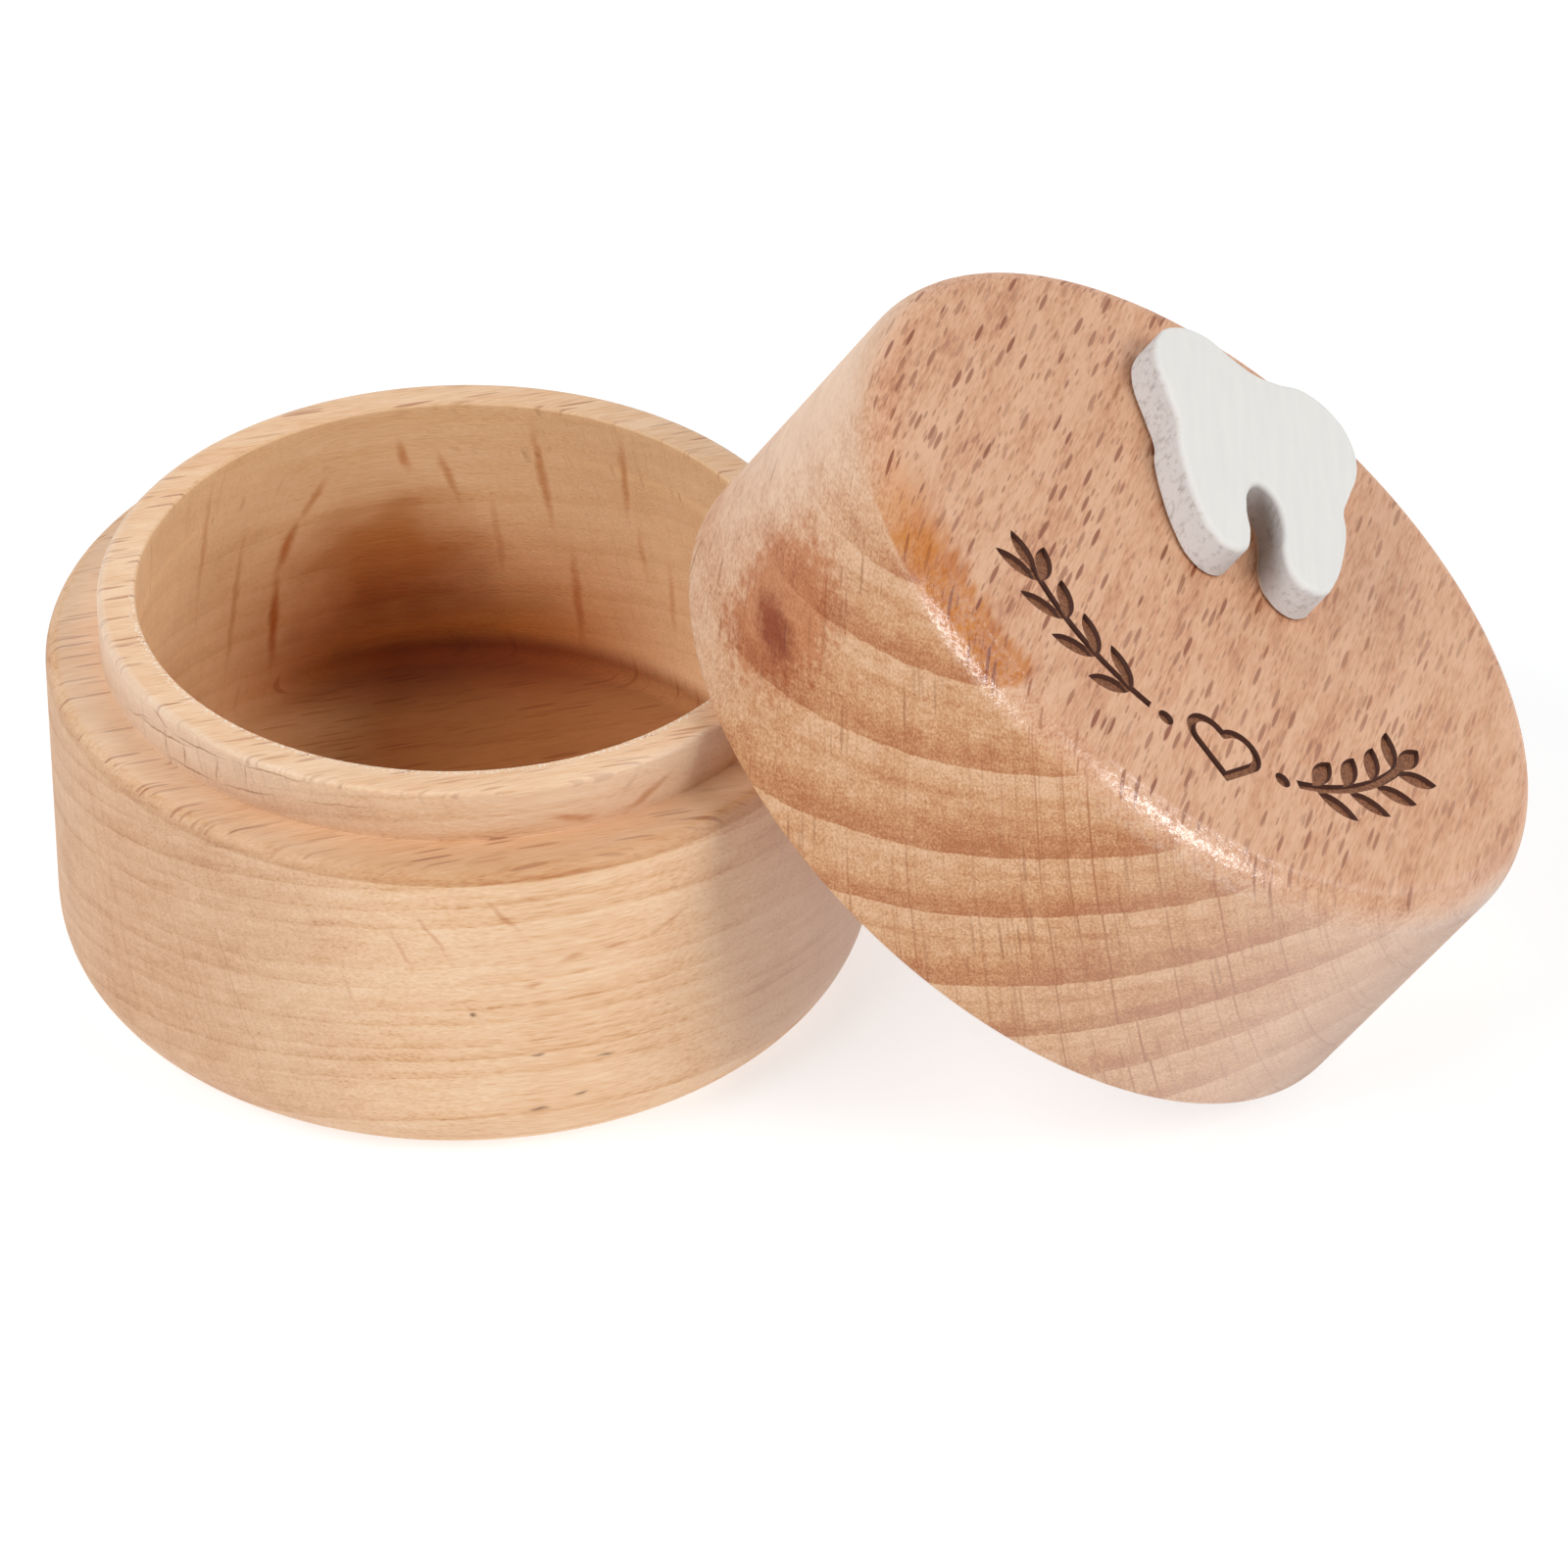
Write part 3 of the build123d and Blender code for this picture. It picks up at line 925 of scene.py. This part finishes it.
def cupWood():  # pale beech with fine rings and short brown rays; painted shade on its left side and shoulder front, painted warm light making the bore honey-coloured and painted shade on the bore's rear and floor
    material, tree = newMaterial("beech, turned and sanded, cup")
    colour, height, place, grain, flat = growBeech(tree, cupBeech, Matrix.Identity(4))
    inside = fade(tree, place, *cupMarks["inside"])
    outside = fade(tree, place, *cupMarks["outside"])
    collar = fade(tree, place, *cupMarks["collar"])
    bottom = fade(tree, place, *cupMarks["bottom"], interpolation_type="SMOOTHSTEP")
    bottom = whereAll(tree, bottom, inside)
    # painted shade on the front of the shoulder
    shoulder = fadeAll(tree, place, cupMarks["shoulder"])
    colour = tintBy(tree, colour, shoulder, cupMarks["shoulderShadeTint"])
    # painted shade on the left of the outer wall, away from the level faces
    left = whereAll(tree, fade(tree, place, *cupMarks["left"]), outside)
    left = addNode(tree, "Math", {0: left, 1: flat}, operation="SUBTRACT", use_clamp=True)
    colour = tintBy(tree, colour, left, cupMarks["leftShadeTint"])
    # painted warm light inside the bore
    bore = whereAll(tree, inside, cupMarks["boreLightShare"])
    colour = tintBy(tree, colour, bore, cupMarks["boreLightColour"], "MIX")
    # painted shade deep in the bore
    deep = fadeAll(tree, place, cupMarks["deep"], interpolation_type="SMOOTHSTEP")
    colour = tintBy(tree, colour, whereAll(tree, deep, inside), cupMarks["deepShadeTint"])
    cloud = whereAll(tree, grainNoise(tree, place, cupMarks["cloud"], 1.0), cupMarks["cloudShare"])
    # painted shade patches in the bore
    for mark in cupMarks["boreShades"]:
        boreShade = whereAll(tree, softPatch(tree, place, cloud, mark), inside)
        colour = tintBy(tree, colour, boreShade, mark["tint"])
    # painted shade on the bore's floor
    floorShade = fade(tree, place, *cupMarks["floorLeft"], interpolation_type="SMOOTHSTEP")
    floorShade = whereAll(tree, floorShade, fade(tree, place, *cupMarks["floorRight"]), bottom)
    colour = tintBy(tree, colour, floorShade, cupMarks["floorShadeTint"])
    marks = whereAll(tree, rayMarks(tree, cupBeech, grain, 1.0), bottom)
    colour = tintBy(tree, colour, marks, cupMarks["floorRayTint"])
    # painted light on the spigot's sides
    mirrored = addNode(tree, "VectorMath", {0: place}, operation="ABSOLUTE")
    wall = fadeAll(tree, mirrored, cupMarks["collarLitSides"])
    colour = tintBy(tree, colour, whereAll(tree, wall, collar), cupMarks["collarLightColour"], "MIX")
    # painted bounce light on the right front of the outer wall
    sideShading = whereAll(tree, fadeAll(tree, place, cupMarks["sideShading"]), outside)
    colour = tintBy(tree, colour, sideShading, cupMarks["rightBounceColour"], "MIX")
    spigot = addNode(tree, "Math", {0: collar, 1: inside}, operation="SUBTRACT", use_clamp=True)
    walls = {"bore": (boreRadius, inside), "spigot": (spigotRadius, spigot), "side": (cup["radius"], outside)}
    for wall, code, how, strokes in cupMarks["strokes"]:
        radius, share = walls[wall]
        drawn = whereAll(tree, drawStrokes(tree, place, radius, strokes), share)
        colour = tintBy(tree, colour, drawn, code, how)
    tufts = addNode(tree, "TexNoise", {"Vector": place, **cupMarks["tuftNoise"]})
    tufts = addNode(tree, "MapRange", {"Value": tufts, **cupMarks["tuftEdge"]})
    tufts = whereAll(tree, tufts, fadeAll(tree, place, cupMarks["tufts"]))
    colour = tintBy(tree, colour, tufts, cupMarks["tuftColour"], "MIX")
    rough = addNode(tree, "MapRange", {"Value": height, **cupMarks["roughness"]})
    rough = {"Factor": bottom, "A": rough, "B": cupMarks["bottomRoughness"]}
    finish(tree, colour, height, addNode(tree, "Mix", rough, data_type="FLOAT"))
    return material


# Marks on the cap's wood: where each one fades in and out, in millimetres and in the cap's own place
capMarks = {
    # the flat top darker and warmer: partly its own tone, partly painted shade
    "topToneAndShade": "#f1dfd2",
    "near": (toRear, 0.0, -12.0),
    # painted light: the near wall paler and its rings fainter towards its right
    "bounceSide": (toRight, -6.0, 16.0, 0.0, 0.5),
    "sideBounceColour": "#e8ccbc",
    # painted shade: the near wall greyer and darker towards its right
    "sideShading": (toRight, 13.0, 21.0),
    "rightShadeTint": "#d6d1ce",
    "drawn": (0.25, 1.6, 1.6),
    "ragged": 1.6,
    # paler high on the left of the wall, where it turns up: partly wood with fewer rings, partly painted
    # light
    "paleLitPatch": {"centre": (-26.0, 7.0, 17.0), "radii": (9.0, 8.5, 10.0), "soft": 0.5, "share": 0.56},
    "litPatchColour": "#f6d6ba",
    "stains": [
        {"centre": (-26.0, -8.6, 8.6), "radii": (6.0, 5.4, 5.2), "soft": 0.3, "tint": "#e2bda2"},
        {"centre": (-25.9, -9.3, 7.4), "radii": (2.9, 2.6, 1.2), "soft": 0.6, "tint": "#b98560"},
    ],
    "orange": [(upward, 18.9, 19.1), (toRear, -4.0, -12.0)],
    "orangeRing": (upward, 20.9, 21.2),  # across the year rings
    "orangeReach": {"From Min": 23.2, "From Max": 24.6},
    "orangeSway": 4.0,
    "orangeClouds": {"From Min": -0.15, "From Max": 0.15, "To Min": 0.65, "To Max": 1.0},
    "orangeTint": "#dfab40",
    "thread": ((6.35, 1.4, 20.6), 7.6, (2.2, 0.13, 0.3), 0.5, 0.5),
    "threadColour": "#f3e6da",
    "burnish": [(upward, 18.2, 18.7), (upward, 20.6, 20.5), (toRear, -11.0, -15.0)],
    "rubbed": [
        (-24.5, 0), (-23.6, 0), (-21.5, 1), (-16.4, 1), (-14.3, 0.2),
        (-10.4, 0.2), (-8.0, 1), (1.0, 1), (5.5, 0.2),
    ],
    "grit": {"Scale": 3.0, "Detail": 2.0},
    "spark": {"From Min": 0.36, "From Max": 0.56},
    "roughness": {"To Min": 0.52, "To Max": 0.3},  # plain and burnished
    "coat": {"Coat Roughness": 0.2, "Coat IOR": 1.8},
    "coatRelief": 0.09,
}


def capWood():  # pink-brown beech with broad rings, orange at its front arris, glinting where it was rubbed
    material, tree = newMaterial("beech, turned and sanded, cap")
    colour, height, place, grain, flat = growBeech(tree, capBeech, capPlace)
    # partly painted shade on the flat top
    colour = tintBy(tree, colour, flat, capMarks["topToneAndShade"])
    wall = addNode(tree, "Math", {0: 1.0, 1: flat}, operation="SUBTRACT")
    wall = whereAll(tree, wall, fade(tree, place, *capMarks["near"]))
    # painted bounce light on the right of the near wall
    side = whereAll(tree, fade(tree, place, *capMarks["bounceSide"]), wall)
    colour = tintBy(tree, colour, side, capMarks["sideBounceColour"], "MIX")
    # painted shade on the right of the near wall
    sideShading = whereAll(tree, fade(tree, place, *capMarks["sideShading"]), wall)
    colour = tintBy(tree, colour, sideShading, capMarks["rightShadeTint"])
    drawn = grainNoise(tree, grain, capMarks["drawn"], 3.0)
    ragged = whereAll(tree, drawn, capMarks["ragged"])
    # partly painted light on the upper left of the wall
    pale = softPatch(tree, place, ragged, capMarks["paleLitPatch"])
    pale = addNode(tree, "Math", {0: pale, 1: flat}, operation="SUBTRACT", use_clamp=True)
    pale = whereAll(tree, pale, capMarks["paleLitPatch"]["share"])
    colour = tintBy(tree, colour, pale, capMarks["litPatchColour"], "MIX")
    for mark in capMarks["stains"]:
        colour = tintBy(tree, colour, softPatch(tree, place, ragged, mark), mark["tint"])
    rim = {0: drawn, 1: capMarks["orangeSway"], 2: farAlong(tree, place, outward)}
    rim = addNode(tree, "Math", rim, operation="MULTIPLY_ADD")
    rim = addNode(tree, "MapRange", {"Value": rim, **capMarks["orangeReach"]})
    ring = fade(tree, grain, *capMarks["orangeRing"])
    cloud = addNode(tree, "MapRange", {"Value": drawn, **capMarks["orangeClouds"]})
    orange = whereAll(tree, fadeAll(tree, place, capMarks["orange"]), rim, ring, cloud)
    colour = tintBy(tree, colour, orange, capMarks["orangeTint"])
    thread = drawLine(tree, place, *capMarks["thread"])
    colour = tintBy(tree, colour, thread, capMarks["threadColour"], "MIX")
    burnished = fadeAll(tree, place, capMarks["burnish"])
    grit = addNode(tree, "TexNoise", {"Vector": place, **capMarks["grit"]})
    spark = addNode(tree, "MapRange", {"Value": grit, **capMarks["spark"]})
    rubbed = alongStops(tree, farAlong(tree, place, toRight), capMarks["rubbed"])
    spark = whereAll(tree, spark, burnished, rubbed)
    rough = addNode(tree, "MapRange", {"Value": burnished, **capMarks["roughness"]})
    felt = addNode(tree, "Bump", {"Height": grit, "Strength": 1.0, "Distance": capMarks["coatRelief"] * mm})
    feed(tree, tree.nodes["Principled BSDF"], {"Coat Weight": spark, "Coat Normal": felt, **capMarks["coat"]})
    finish(tree, colour, height, rough)
    return material


# Soot lies on the groove's walls; its stops go from the groove's floor to the cap's top
charred = {
    "floor": "#9c6644",
    "floorDark": "#6e4027",
    "wall": "#472212",
    "lines": {"Scale": 5.0, "Detail": 2.0},
    "toast": {"From Min": 0.35, "From Max": 0.6},
    "roughness": {"To Min": 0.85, "To Max": 0.6},
    "soot": [(0.0, 0), (0.12, 1), (0.85, 1), (1.0, 0.55)],
}


def charredWood():  # toasted floor with the beam's fine lines, sooty walls
    material, tree = newMaterial("beech, laser burned")
    place = millimetres(tree, capPlace)
    depth = fade(tree, place, upward, cap["height"] - garland["depth"], cap["height"])
    lines = addNode(tree, "TexNoise", {"Vector": place, **charred["lines"]})
    toast = addNode(tree, "MapRange", {"Value": lines, **charred["toast"]})
    floor = blend(tree, toast, charred["floorDark"], charred["floor"])
    colour = tintBy(tree, floor, alongStops(tree, depth, charred["soot"]), charred["wall"], "MIX")
    rough = addNode(tree, "MapRange", {"Value": lines, **charred["roughness"]})
    finish(tree, colour, lines, rough)
    return material


paint = {
    "face": "#efede8",
    "edge": "#d7d7d8",
    "pit": "#b5b1af",
    "brushWay": (1.0, 0.12, 1.0),
    "brush": {"Scale": 1.6, "Detail": 3.0},
    "brushMarks": {"From Min": 0.3, "From Max": 0.7, "To Max": 0.2},
    "pits": {"Scale": 1.7, "Detail": 4.0, "Roughness": 0.7},
    "pitted": {"From Min": 0.5, "From Max": 0.7},
    "bumps": {"To Min": 0.12, "To Max": 1.6},  # on the face and on the edge
    "roughness": {"To Min": 0.6, "To Max": 0.85},
    "edgeDepth": (0.05, 0.5),  # how far below the face the sawn edge starts and is full
    # painted shade: the sawn edge darker in and round the notch between the roots
    "notch": {"centre": (2.6, 5.5, 21.5), "radii": (3.2, 6.5, 3.0), "soft": 0.35, "tint": "#e2dcd8"},
}


def paintedWood():  # flat white and smooth on the face, thirsty, pitted and grey on the sawn edge, with painted shade in the notch
    material, tree = newMaterial("white paint on sawn board, matt")
    place = millimetres(tree, capPlace)
    top = toothBase + tooth["thickness"]
    start, full = paint["edgeDepth"]
    edge = fade(tree, place, upward, top - start, top - full)
    brushed = addNode(tree, "VectorMath", {0: place, 1: paint["brushWay"]}, operation="MULTIPLY")
    brushed = addNode(tree, "TexNoise", {"Vector": brushed, **paint["brush"]})
    brushed = addNode(tree, "MapRange", {"Value": brushed, **paint["brushMarks"]})
    face = blend(tree, brushed, paint["face"], paint["edge"])
    pits = addNode(tree, "TexNoise", {"Vector": place, **paint["pits"]})
    pitted = addNode(tree, "MapRange", {"Value": pits, **paint["pitted"]})
    side = blend(tree, pitted, paint["edge"], paint["pit"])
    colour = addNode(tree, "Mix", {"Factor": edge, "A": face, "B": side}, data_type="RGBA")
    ragged = addNode(tree, "Math", {0: pits, 1: -0.5}, operation="ADD")
    # painted shade in the notch
    notch = whereAll(tree, softPatch(tree, place, ragged, paint["notch"]), edge)
    colour = tintBy(tree, colour, notch, paint["notch"]["tint"])
    bumps = addNode(tree, "MapRange", {"Value": edge, **paint["bumps"]})
    rough = addNode(tree, "MapRange", {"Value": edge, **paint["roughness"]})
    finish(tree, colour, whereAll(tree, pits, bumps), rough)
    return material


def driedGlue():  # a thin tan film, a little glossier than the wood round it
    material, tree = newMaterial("wood glue, dried clear")
    place = millimetres(tree, capPlace)
    cloud = addNode(tree, "TexNoise", {"Vector": place, **glue["clouds"]})
    rough = addNode(tree, "MapRange", {"Value": cloud, **glue["roughness"]})
    finish(tree, blend(tree, cloud, glue["deep"], glue["pale"]), cloud, rough)
    return material


# Camera: found from the rims and outlines of cup and cap in the photograph
view = {
    "aim": (21.53, 0, 11.427),
    "elevation": 35.875,
    "distance": 593.09,
    "lens": 202.5,
    "sensor": 36.0,
}


def addCamera():
    high = radians(view["elevation"])
    x, y, z = view["aim"]
    spot = (x, y - view["distance"] * cos(high), z + view["distance"] * sin(high))
    bpy.ops.object.camera_add(location=[value * mm for value in spot], rotation=(pi / 2 - high, 0, 0))
    camera = bpy.context.object
    camera.data.lens = view["lens"]
    camera.data.sensor_width = view["sensor"]
    camera.data.clip_start = 0.01
    bpy.context.scene.camera = camera


# Lamps: each one's turn and rise seen from the box, in degrees, how wide it is and its share of the light
lamps = {
    "middle": (21.5, 0, 14),
    "distance": 900,
    "world": 0.03,
    "boxes": [
        ("leftLamp", -152, 46, 420, 0.42),
        ("rightLamp", -30, 34, 420, 0.52),
        ("rearLamp", 92, 38, 420, 0.19),
        ("leftRearLamp", 150, 45, 420, 0.10),
        ("leftGlintLamp", -125, 40, 200, 0.17),
        ("rightGlintLamp", 33, 21, 170, 0.12),
    ],
}


def addLamps():
    middle = Vector(lamps["middle"]) * mm
    far = lamps["distance"] * mm
    for name, turn, rise, size, share in lamps["boxes"]:
        turn, rise = radians(turn), radians(rise)
        way = Vector((cos(rise) * cos(turn), cos(rise) * sin(turn), sin(rise)))
        bpy.ops.object.light_add(type="AREA", location=middle + way * far)
        lamp = bpy.context.object
        lamp.name = name
        lamp.rotation_euler = way.to_track_quat("Z", "Y").to_euler()
        lamp.data.size = size * mm
        lamp.data.energy = pi ** 2 * far ** 2 * share  # a share of 1 makes a facing white card white
        lamp.visible_camera = False


def addWorld():  # white where the camera sees it, itself or in a reflection; faint as a light
    world = bpy.data.worlds.new("paleStudio")
    bpy.context.scene.world = world
    world.use_nodes = True
    tree = world.node_tree
    path = addNode(tree, "LightPath", {})
    seen = path.outputs["Is Camera Ray"]
    for kind in ("Is Glossy Ray", "Is Transmission Ray"):
        seen = addNode(tree, "Math", {0: seen, 1: path.outputs[kind]}, operation="MAXIMUM").outputs[0]
    strength = addNode(tree, "Mix", {0: seen, 2: lamps["world"], 3: 1.0}, data_type="FLOAT")
    feed(tree, tree.nodes["Background"], {"Color": grey(1), "Strength": strength})


# Card under the box: it glows so that the camera sees it white, but it takes the box's soft shadow
card = {
    "width": 6000,
    "drop": 0.02,
    "surface": {"Base Color": (0.475, 0.5, 0.515, 1), "Roughness": 0.9},
    "bounce": 0.6,
    "seenGlow": (250, 900, 0.65, 1.0),  # from one distance to another, in millimetres, and its strength there
}


def addFloor():
    takeUp()
    bpy.ops.mesh.primitive_plane_add(size=card["width"] * mm, location=(0, 0, -card["drop"] * mm))
    floor = nameNew("paleFloor")
    bpy.ops.object.transform_apply()
    material, tree = newMaterial("pale card, matt")
    path = addNode(tree, "LightPath", {})
    seen = fade(tree, millimetres(tree, Matrix.Identity(4)), outward, *card["seenGlow"])
    glow = {"Value": path.outputs["Is Camera Ray"], "To Min": card["bounce"], "To Max": seen}
    glow = {"Emission Color": grey(1), "Emission Strength": addNode(tree, "MapRange", glow)}
    feed(tree, tree.nodes["Principled BSDF"], {**card["surface"], **glow})
    floor.data.materials.append(material)


charredBeech = charredWood()
baseCup = turnCup()
print("cup turned:", len(baseCup.data.polygons), "faces")
lidCap = turnCap()
lidCap.data.materials.append(capWood())
burnOrnament(lidCap, charredBeech)
print("cap turned:", len(lidCap.data.polygons), "faces")
toothPlaque = shapeTooth()
toothGlue = spreadGlue()
for capPiece in (lidCap, toothPlaque, toothGlue):
    leanPiece(capPiece)
baseCup.data.materials.append(cupWood())
toothPlaque.data.materials.append(paintedWood())
toothGlue.data.materials.append(driedGlue())

for piece, body, node, slotName in (
    (baseCup, "base", "base_cup", "base_beech"),
    (lidCap, "lid", "lid_cap", "lid_beech"),
    (toothPlaque, "lid", "tooth_plaque", "white_paint"),
    (toothGlue, "lid", "tooth_glue", "clear_glue"),
):
    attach(piece, body)
    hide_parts(node)
    cadLow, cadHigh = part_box(node)
    places = [corner.co for corner in piece.data.vertices]
    low = [min(spot[axis] for spot in places) for axis in range(3)]
    high = [max(spot[axis] for spot in places) for axis in range(3)]
    drift = max(abs(a - b) for a, b in zip([*cadLow, *cadHigh], low + high))
    count = len(piece.data.polygons)
    print(piece.name, "leaves its node's box by", round(drift / mm, 3), "mm;", count, "faces")

addCamera()
addLamps()
addWorld()
addFloor()
bpy.context.scene.view_settings.view_transform = "Standard"
